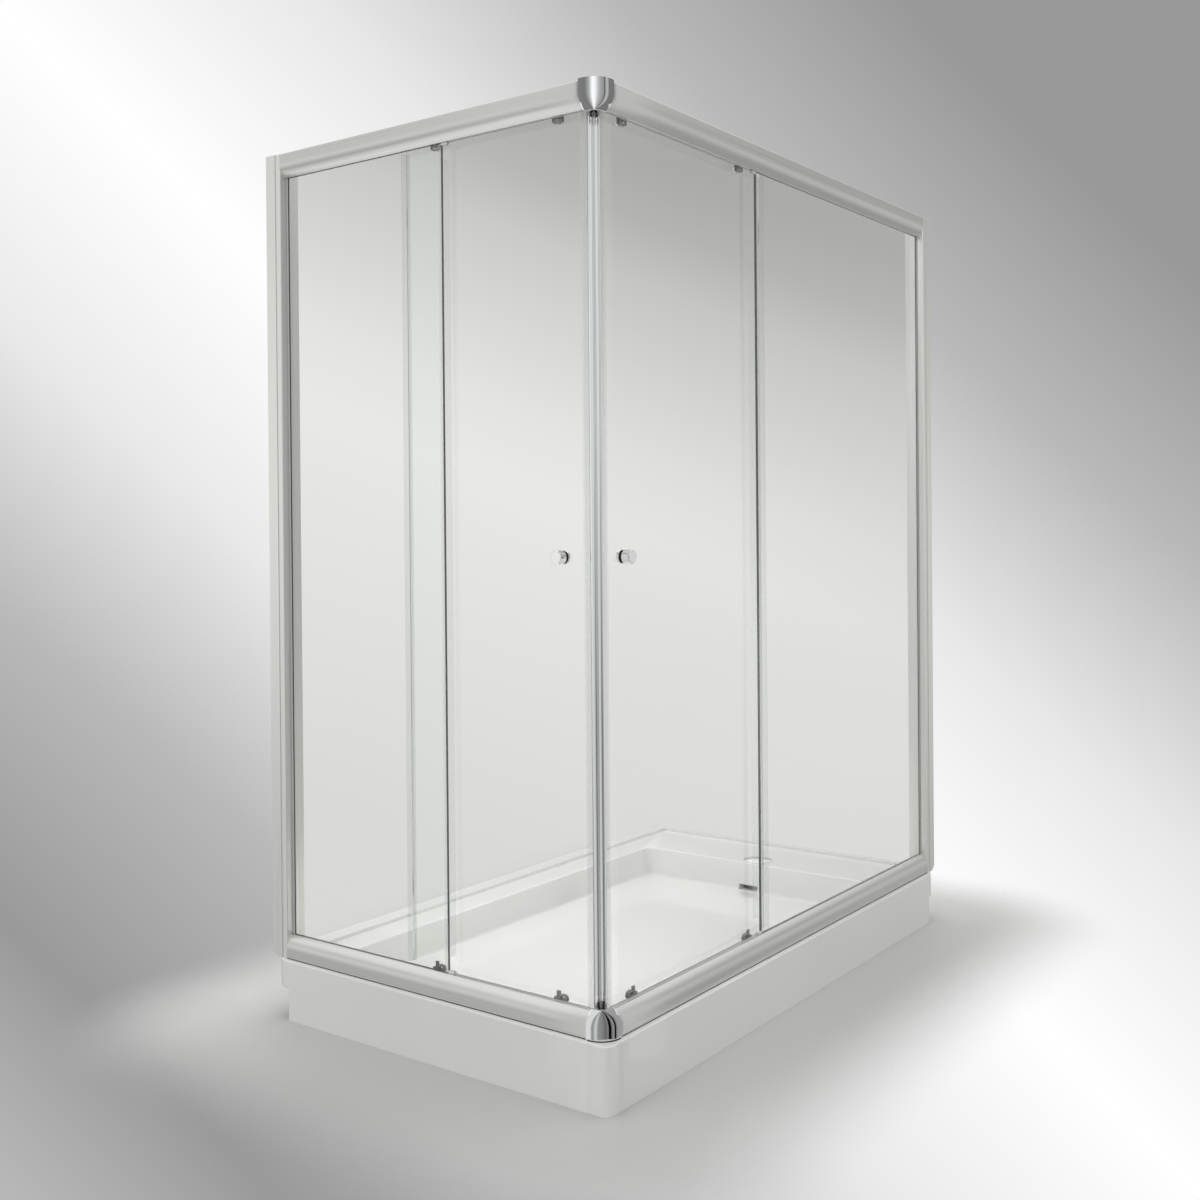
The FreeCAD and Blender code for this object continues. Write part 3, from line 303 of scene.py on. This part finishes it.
# Resin-sealed particle board: mixed brown chips under a dull resin skin.
def sealedBoard():
    material, tree, shader, place = startMaterial("sealedBoard", {
        "Base Color": board["colour"], "Roughness": board["roughness"]})
    chips = addNode(tree, "ShaderNodeTexVoronoi", {"Vector": place, "Scale": 1 / board["chipSize"]})
    tone = addNode(tree, "ShaderNodeMix", {
        "Factor": chips.outputs["Distance"], "A": linear(board["chip"]),
        "B": linear(board["colour"])}, data_type="RGBA")
    tree.links.new(tone.outputs["Result"], shader.inputs["Base Color"])
    addRelief(tree, shader, chips.outputs["Distance"], board)
    return material


finishes = {
    "alongX": anodisedAluminium("anodisedBarAlongX", 0, anodised["bar"]),
    "alongY": anodisedAluminium("anodisedBarAlongY", 1, anodised["bar"]),
    "upright": anodisedAluminium("anodisedUpright", 2, anodised["upright"]),
    "acrylic": formedAcrylic(),
    "board": sealedBoard(),
    "polypropylene": mouldedPlastic("whitePolypropylene", whitePolypropylene),
    "chrome": chromePlate("brightChrome", chrome["bright"]),
    "steel": turnedSteel(),
    "cast": castAlloy(),
    "glass": toughenedGlass(),
    "seal": clearVinyl(),
    "polyamide": mouldedPlastic("greyPolyamide", greyPolyamide),
    "acetal": mouldedPlastic("whiteAcetal", whiteAcetal),
    "gasket": mouldedPlastic("greyGasket", greyGasket),
    "rubberAndPaintedShadow": mouldedPlastic("blackRubberAndPaintedShadow", blackRubberAndPaintedShadow),
    "strip": chromePlate("satinChrome", chrome["satin"]),
    "cover": mouldedPlastic("palePvc", palePvc),
}

# The finish that each node wears, by how the node's name begins.
wearers = {
    "alongX": ("top_rail_long", "bottom_rail_long"),
    "alongY": ("top_rail_short", "bottom_rail_short"),
    "upright": ("wall_channel", "stile"),
    "acrylic": ("shower_tray",),
    "board": ("tray_base_board",),
    "polypropylene": ("waste_trap", "pane_stops"),
    "chrome": ("waste_cap", "corner_cap", "knob_outer", "knob_inner", "roller_screws"),
    "steel": ("tray_feet", "bracket_screws", "frame_screws"),
    "cast": ("corner_bracket",),
    "glass": ("fixed_glass", "door_glass"),
    "seal": ("pane_seal", "rear_seal", "strip_carrier"),
    "polyamide": ("top_brackets", "bottom_housings", "wheel_carrier"),
    "acetal": ("top_wheel", "bottom_wheel"),
    "gasket": ("glazing_gasket",),
    "rubberAndPaintedShadow": ("track_stops", "knob_fixings"),
    "strip": ("magnet_strip",),
}
smoothing = {
    "weld": 0.00001,
    "air": 0.00005,             # keeps the clear strips' faces off the glass they clip
    "angle": math.radians(32),
}


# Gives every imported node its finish, and lets its round faces shade as round.
def dressNodes():
    for name, node in nodes.items():
        finish = next(worn for worn, starts in wearers.items() if name.startswith(starts))
        node.data.materials.clear()
        node.data.materials.append(finishes[finish])
        weld = node.modifiers.new("weld", "WELD")
        weld.merge_threshold = smoothing["weld"]
        if finish == "seal":
            air = node.modifiers.new("air", "DISPLACE")
            air.mid_level = 0.0
            air.strength = -smoothing["air"]
        split = node.modifiers.new("split", "EDGE_SPLIT")
        split.split_angle = smoothing["angle"]
        node.data.polygons.foreach_set("use_smooth", [True] * len(node.data.polygons))
    print("finishes on", len(nodes), "nodes")


dressNodes()

# Millimetres on a side's own axes: along it from the near corner, and inward from the tray's face.
trim = {
    "rimLevel": 136.0,
    "screenTop": 1986.0,
    "ends": {"short": (438.0, 965.0), "long": (649.0, 1605.0)},     # fixed pane's free edge, wall
    "railStart": 57.0,
    "stile": 44.5,
    "stopLength": 17.8,
    "coverSection": [(31.7, 47.6), (31.7, 50.7), (32.5, 51.5), (38.5, 51.5), (39.3, 50.7),
                     (39.3, 47.6), (38.4, 47.6), (38.4, 50.3), (32.6, 50.3), (32.6, 47.6)],
    # where the painted shadow line under the lower rails starts, and its section
    "shadowLineStart": 60.5,
    "shadowLineSection": [(11.7, 0.03), (13.9, 0.03), (13.0, 0.24), (12.6, 0.56), (12.24, 1.0),
                    (12.02, 1.9), (11.7, 1.7)],
    "capAxis": 52.0,
    # section of the painted shadow line under the lower corner cover
    "capFoot": [(42.05, 0.03), (43.3, 0.03), (43.2, 1.1), (42.9, 1.7), (42.05, 2.0)],
    "capReach": 4.0,            # the painted shadow line's straight ends beyond the cover's bend
    "capStart": 180, "capTurn": 90,     # degrees that the painted shadow line turns through round the cover
    "capSteps": 24,
}
perMetre = 1000
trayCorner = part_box("shower_tray")[0]


def onSide(side, along, inward, height):
    x, y = (along, inward) if side == "long" else (inward, along)
    return (trayCorner[0] + x / perMetre, trayCorner[1] + y / perMetre, height / perMetre)


# Closed bar from its sections, each a ring of points.
def addBar(name, rings, finish):
    count = len(rings[0])
    starts = [ring * count for ring in range(len(rings))]
    faces = [(start + i, start + (i + 1) % count, start + count + (i + 1) % count, start + count + i)
             for start in starts[:-1] for i in range(count)]
    ends = [tuple(range(count)), tuple(starts[-1] + i for i in reversed(range(count)))]
    mesh = bpy.data.meshes.new(name)
    mesh.from_pydata([point for ring in rings for point in ring], [], faces + ends)
    shape = bmesh.new()
    shape.from_mesh(mesh)
    bmesh.ops.recalc_face_normals(shape, faces=shape.faces)
    shape.to_mesh(mesh)
    shape.free()
    bar = bpy.data.objects.new(name, mesh)
    bpy.context.collection.objects.link(bar)
    mesh.materials.append(finishes[finish])
    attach(bar, "enclosure")


# Pale cover strips that close the rails' empty glass pockets beside the doors, and a dark strip of
# painted shadow under the lower rails and the lower corner cover, where they sit on the tray.
def addTrim():
    rim, axis, reach = trim["rimLevel"], trim["capAxis"], trim["capReach"]
    for side, (paneEdge, wall) in trim["ends"].items():
        for name, flat, way in (("Low", rim, 1), ("Top", trim["screenTop"], -1)):
            rings = [[onSide(side, along, d, flat + way * h) for d, h in trim["coverSection"]]
                     for along in (trim["railStart"], paneEdge - trim["stopLength"])]
            addBar("pocketCover" + name + "_" + side, rings, "cover")
        # dark strip of painted shadow under the lower rail, along the tray's rim
        rings = [[onSide(side, along, d, rim + h) for d, h in trim["shadowLineSection"]]
                 for along in (trim["shadowLineStart"], wall - trim["stile"])]
        addBar("paintedShadowLine_" + side, rings, "rubberAndPaintedShadow")
    # dark strip of painted shadow under the lower corner cover
    steps = trim["capSteps"]
    turns = [math.radians(trim["capStart"] + trim["capTurn"] * i / steps) for i in range(steps + 1)]
    rings = [[onSide("long", axis + r * math.cos(t), axis + r * math.sin(t), rim + h)
              for r, h in trim["capFoot"]] for t in turns]
    first = [(x, y + reach / perMetre, z) for x, y, z in rings[0]]
    last = [(x + reach / perMetre, y, z) for x, y, z in rings[-1]]
    rings = [first] + rings[:-1] + [last, rings[-1]]    # folds back over its last reach, long side
    addBar("paintedShadowLineCorner", rings, "rubberAndPaintedShadow")
    print("trim added")


addTrim()


# Tone that follows a value through pairs of value and colour.
def toneAlong(tree, value, stops):
    first, last = stops[0][0], stops[-1][0]
    part = addNode(tree, "ShaderNodeMapRange", {"Value": value, "From Min": first, "From Max": last})
    ramp = addNode(tree, "ShaderNodeValToRGB", {"Fac": part.outputs[0]})
    marks = ramp.color_ramp.elements
    while len(marks) < len(stops):
        marks.new(0.5)
    for mark, (place, tone) in zip(marks, stops):
        mark.position = (place - first) / (last - first)
        mark.color = linear(tone)
    return ramp.outputs["Color"]


ground = {
    "reach": 6.0,
    "colour": "#C6C6C5",
    "roughness": 0.55,
    "trayHalf": (0.8025, 0.4825, 0.0),
    "fade": (0.12, 0.5),        # metres from the tray's outline, where it gives way to the backdrop
}


# Pale floor under the object that gives way to the backdrop further out.
def makeFloor():
    reach = ground["reach"]
    corners = [(-reach, -reach, 0), (reach, -reach, 0), (reach, reach, 0), (-reach, reach, 0)]
    mesh = bpy.data.meshes.new("floor")
    mesh.from_pydata(corners, [], [(0, 1, 2, 3)])
    floor = bpy.data.objects.new("floor", mesh)
    bpy.context.collection.objects.link(floor)
    floor.visible_glossy = False        # bright metal mirrors the studio there instead
    material, tree, shader, place = startMaterial("paleFloor", {
        "Base Color": ground["colour"], "Roughness": ground["roughness"]})
    past = addNode(tree, "ShaderNodeVectorMath", {0: place}, operation="ABSOLUTE")
    for operation, other in (("SUBTRACT", ground["trayHalf"]), ("MAXIMUM", (0.0, 0.0, 0.0))):
        past = addNode(tree, "ShaderNodeVectorMath", {0: past.outputs[0], 1: other},
                       operation=operation)
    far = addNode(tree, "ShaderNodeVectorMath", {0: past.outputs[0]}, operation="LENGTH")
    near, end = ground["fade"]
    fade = addNode(tree, "ShaderNodeMapRange", {
        "Value": far.outputs["Value"], "From Min": near, "From Max": end},
        interpolation_type="SMOOTHSTEP")
    clear = addNode(tree, "ShaderNodeBsdfTransparent")
    mixed = addNode(tree, "ShaderNodeMixShader", {
        0: fade.outputs[0], 1: shader.outputs[0], 2: clear.outputs[0]})
    tree.links.new(mixed.outputs[0], tree.nodes["Material Output"].inputs["Surface"])
    mesh.materials.append(material)


# Tones of the backdrop, and of what is seen through glass, across their lean; behind glass they carry
# painted shade, darker upward and to the right.
room = {
    "sheenHeading": 36.0,       # degrees; the backdrop's bright band leans across this heading
    "sheen": [(-0.565, "#BBBBBB"), (-0.46, "#999999"), (-0.325, "#B9B9B9"), (-0.187, "#E9E9E9"),
              (-0.036, "#FFFFFF"), (0.114, "#E8E8E8"), (0.259, "#B9B9B9"), (0.39, "#999999"),
              (0.50, "#999999")],
    "glassLean": 0.4,           # how far the tone behind glass leans to the right of upright
    # painted shade on what lies behind the glass: darker upward and to the right
    "shadedBehindGlass": [(-0.25, "#DCDCDA"), (-0.05, "#E6E6E4"), (0.0, "#EAEAE8"), (0.05, "#E5E5E3"),
                    (0.12, "#D5D5D3"), (0.17, "#C9C9C7"), (0.21, "#B6B6B4"), (0.25, "#ACACAA"),
                    (0.50, "#ACACAA")],
    "skyLight": (0.46, 0.88),   # from below the horizon to overhead
    "skyRise": (-0.2, 0.8),     # heights of a ray between which that light rises
}

# What metal and glass mirror of the studio, by height, to the left and to the right of the corner.
mirrored = {
    "strength": 1.15,
    "turn": 324.0,              # degrees; heading that lies square to the right of the corner
    "seam": 0.25,               # how softly left passes into right
    "left": [(-1.0, "#FFFFFE"), (-0.55, "#F4F4F3"), (-0.32, "#969695"), (-0.2, "#BCBCBB"),
             (-0.1, "#D8D8D7"), (0.0, "#ECECEB"), (0.15, "#E8E8E7"), (0.27, "#B4B4B3"),
             (0.5, "#FFFFFF"), (1.0, "#FFFFFF")],
    "right": [(-1.0, "#AFAFAE"), (-0.5, "#A8A8A7"), (-0.3, "#9C9C9B"), (-0.18, "#C2C2C1"),
              (0.0, "#D2D2D1"), (0.1, "#C6C6C5"), (0.25, "#989897"), (0.45, "#EAEAE9"),
              (0.7, "#FFFFFF"), (1.0, "#FFFFFF")],
}


# Even light from all round; the eye meets the backdrop, glass a paler one with painted shade, metal
# the studio.
def makeWorld():
    world = bpy.data.worlds.new("studio")
    bpy.context.scene.world = world
    world.use_nodes = True
    tree = world.node_tree
    tree.nodes.clear()
    direction = addNode(tree, "ShaderNodeTexCoord").outputs["Generated"]
    height = addNode(tree, "ShaderNodeSeparateXYZ", {0: direction}).outputs["Z"]

    heading = math.radians(room["sheenHeading"])
    aside = Vector((math.sin(heading), -math.cos(heading), 0))
    tones = []
    for lean, stops in ((1.0, room["sheen"]), (room["glassLean"], room["shadedBehindGlass"])):
        axis = (lean * aside + Vector((0, 0, 1))).normalized()
        across = addNode(tree, "ShaderNodeVectorMath", {0: direction, 1: axis},
                         operation="DOT_PRODUCT")
        tones.append(toneAlong(tree, across.outputs["Value"], stops))
    backdrop, throughGlass = tones

    turn = math.radians(mirrored["turn"])
    across = addNode(tree, "ShaderNodeVectorMath", {
        0: direction, 1: (math.cos(turn), math.sin(turn), 0)}, operation="DOT_PRODUCT")
    side = addNode(tree, "ShaderNodeMapRange", {
        "Value": across.outputs["Value"], "From Min": -mirrored["seam"],
        "From Max": mirrored["seam"]}, interpolation_type="SMOOTHSTEP")
    studio = addNode(tree, "ShaderNodeMix", {
        "Factor": side.outputs[0], "A": toneAlong(tree, height, mirrored["left"]),
        "B": toneAlong(tree, height, mirrored["right"])}, data_type="RGBA")

    low, high = room["skyLight"]
    foot, crown = room["skyRise"]
    level = addNode(tree, "ShaderNodeMapRange", {
        "Value": height, "From Min": foot, "From Max": crown, "To Min": low, "To Max": high})
    rays = addNode(tree, "ShaderNodeLightPath").outputs
    mixed = addNode(tree, "ShaderNodeBackground", {
        "Color": linear("#FFFFFF"), "Strength": level.outputs[0]})
    for ray, tone, strength in (("Is Glossy Ray", studio.outputs["Result"], mirrored["strength"]),
                                ("Is Transmission Ray", throughGlass, 1.0),
                                ("Is Camera Ray", backdrop, 1.0)):
        shown = addNode(tree, "ShaderNodeBackground", {"Color": tone, "Strength": strength})
        mixed = addNode(tree, "ShaderNodeMixShader", {
            0: rays[ray], 1: mixed.outputs[0], 2: shown.outputs[0]})
    output = addNode(tree, "ShaderNodeOutputWorld")
    tree.links.new(mixed.outputs[0], output.inputs["Surface"])


# Bent screen round the near corner that only mirrored rays meet. Rings are radius and height in
# metres, and the streaks lie by degrees of the mirrored ray.
screen = {
    "middle": (-0.7505, -0.4305),
    "heading": 234.0,
    "step": 2,
    "capReach": (-76, 64),      # degrees round the covers, which keeps the rails clear of them
    "wallReach": (-97, 97),
    "lowerRings": ((0.022, 0.196), (0.056, 0.196), (0.056, -0.70)),
    "upperRings": ((0.022, 1.926), (0.056, 1.926), (0.056, 3.00)),
    "wall": ((0.30, 0.0), (0.30, 2.2)),     # what the closing strips and knobs mirror
    "inner": 0.2,               # radius between the covers' rings and the wall
    "split": 1.06,              # height between the lower cover's streaks and the upper one's
    "stripBlend": (0.7, 1.35),  # heights between which the strips' tones change over
    "coverRadius": 0.042,
    "facing": 18.0,             # degrees between the screen's middle and the camera's side
    "strength": 1.15,
    "high": [(-97, "#7A7A7A"), (-70, "#757575"), (-55, "#949494"), (-46, "#ABABAB"), (-38, "#D0D0D0"),
             (-29, "#FAFAFA"), (-17, "#FBFBFB"), (-7, "#E2E2E2"), (4, "#BDBDBD"), (14, "#A8A8A8"),
             (26, "#9A9A9A"), (37, "#8C8C8C"), (40, "#5C5C5C"), (44, "#5C5C5C"), (47, "#A0A0A0"),
             (58, "#B4B4B4"), (66, "#A8A8A8"), (70, "#737373"), (97, "#737373")],
    "low": [(-97, "#D6D6D6"), (-84, "#D6D6D6"), (-74, "#909090"), (-66, "#909090"), (-57, "#C0C0C0"),
            (-48, "#C0C0C0"), (-38, "#8C8C8C"), (-14, "#808080"), (4, "#646464"), (12, "#7A7A7A"),
            (18, "#7A7A7A"), (20, "#060606"), (34, "#060606"), (36, "#6A6A6A"), (48, "#8A8A8A"),
            (54, "#8A8A8A"), (56, "#141414"), (67, "#141414"), (69, "#7E7E7E"), (86, "#989898"),
            (97, "#989898")],
    "stripHigh": [(-97, "#D4D4D4"), (-40, "#D0D0D0"), (-10, "#E2E2E2"), (4, "#C0C0C0"),
                  (14, "#767676"), (26, "#D0D0D0"), (42, "#D8D8D8"), (54, "#787878"),
                  (62, "#A8A8A8"), (70, "#D0D0D0"), (97, "#D0D0D0")],
    "stripLow": [(-97, "#D0D0D0"), (-40, "#C0C0C0"), (-20, "#B0B0B0"), (0, "#787878"),
                 (12, "#303030"), (24, "#888888"), (40, "#A8A8A8"), (52, "#444444"),
                 (60, "#949494"), (70, "#D0D0D0"), (97, "#D0D0D0")],
}


# Cloth that glows with the streaks: low or high ones near the covers, the strips' own on the wall.
def streakedCloth():
    material = bpy.data.materials.new("streakedCloth")
    material.use_nodes = True
    tree = material.node_tree
    tree.nodes.clear()
    place = addNode(tree, "ShaderNodeTexCoord").outputs["Object"]
    turned = addNode(tree, "ShaderNodeVectorRotate", {
        "Vector": place, "Angle": -math.radians(screen["heading"])}, rotation_type="Z_AXIS").outputs[0]
    parts = addNode(tree, "ShaderNodeSeparateXYZ", {0: turned}).outputs
    level = addNode(tree, "ShaderNodeVectorMath", {0: turned, 1: (1.0, 1.0, 0.0)},
                    operation="MULTIPLY")
    out = addNode(tree, "ShaderNodeVectorMath", {0: level.outputs[0]}, operation="LENGTH")

    # a streak keeps its place on the cover from the steep rays near its axis to the level ones
    found = {"x": parts["X"], "y": parts["Y"], "height": parts["Z"], "radius": out.outputs["Value"]}
    for name, operation, first, second in (
            ("twice", "MULTIPLY", "radius", 2.0),
            ("clear", "SUBTRACT", "twice", screen["coverRadius"]),
            ("spread", "DIVIDE", "twice", "clear"),
            ("turn", "ARCTAN2", "y", "x"),
            ("degrees", "DEGREES", "turn", 0.0),
            ("faced", "ADD", "degrees", screen["facing"]),
            ("widened", "MULTIPLY", "faced", "spread"),
            ("ray", "SUBTRACT", "widened", screen["facing"]),
            ("isHigh", "GREATER_THAN", "height", screen["split"]),
            ("isWall", "GREATER_THAN", "radius", screen["inner"])):
        step = addNode(tree, "ShaderNodeMath", {0: found[first], 1: found.get(second, second)},
                       operation=operation)
        found[name] = step.outputs[0]
    start, end = screen["stripBlend"]
    blend = addNode(tree, "ShaderNodeMapRange", {
        "Value": found["height"], "From Min": start, "From Max": end})

    tones = {name: toneAlong(tree, found["ray"], screen[name])
             for name in ("low", "high", "stripLow", "stripHigh")}
    for name, factor, first, second in (("covers", found["isHigh"], "low", "high"),
                                        ("strips", blend.outputs[0], "stripLow", "stripHigh"),
                                        ("all", found["isWall"], "covers", "strips")):
        mixed = addNode(tree, "ShaderNodeMix", {
            "Factor": factor, "A": tones[first], "B": tones[second]}, data_type="RGBA")
        tones[name] = mixed.outputs["Result"]
    glow = addNode(tree, "ShaderNodeEmission", {"Color": tones["all"], "Strength": screen["strength"]})
    output = addNode(tree, "ShaderNodeOutputMaterial")
    tree.links.new(glow.outputs[0], output.inputs["Surface"])
    return material


def makeScreen():
    points = []
    faces = []
    for rings, (first, last) in ((screen["lowerRings"], screen["capReach"]),
                                 (screen["upperRings"], screen["capReach"]),
                                 (screen["wall"], screen["wallReach"])):
        angles = [math.radians(screen["heading"] + a) for a in range(first, last + 1, screen["step"])]
        count = len(angles)
        for lower, upper in zip(rings, rings[1:]):
            start = len(points)
            for radius, level in (lower, upper):
                points += [(radius * math.cos(a), radius * math.sin(a), level) for a in angles]
            faces += [(start + i, start + i + 1, start + count + i + 1, start + count + i)
                      for i in range(count - 1)]
    mesh = bpy.data.meshes.new("streakScreen")
    mesh.from_pydata(points, [], faces)
    mesh.materials.append(streakedCloth())
    panel = bpy.data.objects.new("streakScreen", mesh)
    panel.location = (*screen["middle"], 0)
    bpy.context.collection.objects.link(panel)
    for ray in ("camera", "diffuse", "transmission", "shadow", "volume_scatter"):
        setattr(panel, "visible_" + ray, False)


lamps = {
    "key": {"place": (-5.2, 0.6, 3.6), "aim": (0.0, 0.0, 0.7), "size": 3.2, "power": 28,
            "throughGlass": True},
    "top": {"place": (0.4, 0.3, 5.4), "aim": (0.0, 0.0, 0.0), "size": 3.6, "power": 90,
            "throughGlass": True},
    "inside": {"place": (-0.5, -0.25, 0.85), "aim": (0.5, 0.2, 0.1), "size": 0.5, "power": 4.4,
               "throughGlass": False},
}


# Soft lamps that light the object and leave no white shape in its glass.
def makeLamps():
    for name, settings in lamps.items():
        data = bpy.data.lights.new(name, "AREA")
        data.shape = "SQUARE"
        data.size = settings["size"]
        data.energy = settings["power"]
        lamp = bpy.data.objects.new(name, data)
        lamp.location = settings["place"]
        facing = Vector(settings["aim"]) - Vector(settings["place"])
        lamp.rotation_euler = facing.to_track_quat("-Z", "Y").to_euler()
        lamp.visible_camera = False
        lamp.visible_glossy = False
        lamp.visible_transmission = settings["throughGlass"]
        bpy.context.collection.objects.link(lamp)


view = {
    "place": (-2.8904, -1.9994, 1.1376),
    "heading": 36.178,          # degrees from the long side towards the short one
    "dip": 0.352,
    "roll": -0.472,
    "focal": 1362.8,            # in the picture's own pixels
    "picture": 1200,
    "centre": (599.4, 529.5),
    "sensor": 36.0,
}


def makeCamera():
    heading, dip, roll = (math.radians(view[name]) for name in ("heading", "dip", "roll"))
    forward = Vector((math.cos(heading) * math.cos(dip), math.sin(heading) * math.cos(dip),
                      -math.sin(dip)))
    level = Vector((math.sin(heading), -math.cos(heading), 0))
    up = level.cross(forward)
    right = math.cos(roll) * level + math.sin(roll) * up
    top = -math.sin(roll) * level + math.cos(roll) * up
    size = view["picture"]
    data = bpy.data.cameras.new("camera")
    data.sensor_width = view["sensor"]
    data.lens = view["focal"] * view["sensor"] / size
    data.shift_x = (size / 2 - view["centre"][0]) / size
    data.shift_y = (view["centre"][1] - size / 2) / size
    camera = bpy.data.objects.new("camera", data)
    turn = Matrix((right, top, -forward)).transposed()
    camera.matrix_world = Matrix.Translation(view["place"]) @ turn.to_4x4()
    bpy.context.collection.objects.link(camera)
    bpy.context.scene.camera = camera


makeFloor()
makeWorld()
makeScreen()
makeLamps()
makeCamera()
bpy.context.scene.view_settings.view_transform = "Standard"
print("room, lamps and camera ready")

bpy.context.view_layer.update()
